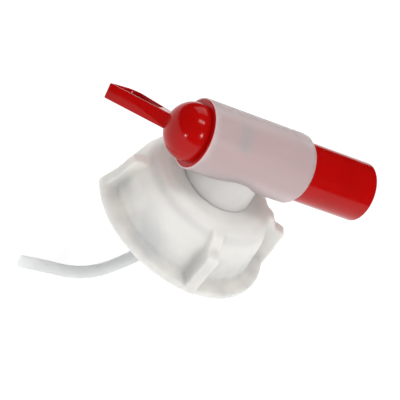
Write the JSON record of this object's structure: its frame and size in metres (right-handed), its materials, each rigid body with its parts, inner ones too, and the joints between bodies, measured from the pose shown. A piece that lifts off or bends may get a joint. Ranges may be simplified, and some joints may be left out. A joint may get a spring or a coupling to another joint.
{
  "type": "container tap",
  "caption": "Screw-on dispensing tap: lugged cap on a swivelling translucent barrel with a turning lever cock and open spout, and a curved vent tube below.",
  "frame": {"origin": "on the screw cap's axis, in the plane where the container's neck bears on the cap's gasket", "axes": "+Z along the cap's axis, away from the container; +X along the barrel towards the spout"},
  "size_m": [0.1066, 0.0773, 0.1068],
  "materials": {
    "cap_plastic": "natural translucent polyethylene, satin",
    "gasket_foam": "closed-cell foam washer",
    "barrel_plastic": "natural translucent polyethylene with red showing through",
    "red_plastic": "red moulded plastic, gloss",
    "hose_plastic": "natural translucent hose"
  },
  "bodies": {
    "cap": {"screw_cap": "cap_plastic", "cap_gasket": "gasket_foam"},
    "body": {"tap_body": "barrel_plastic", "vent_tube": "hose_plastic"},
    "cock": {"cock": "red_plastic"}
  },
  "joints": [
    {"name": "body_swivel", "type": "hinge", "parent": "cap", "child": "body", "pos_m": [0, 0, 0], "axis": [0, 0, 1], "continuous": true},
    {"name": "cock_turn", "type": "hinge", "parent": "body", "child": "cock", "pos_m": [0, 0, 0.025], "axis": [1, 0, 0], "range_deg": [0, 150]}
  ]
}
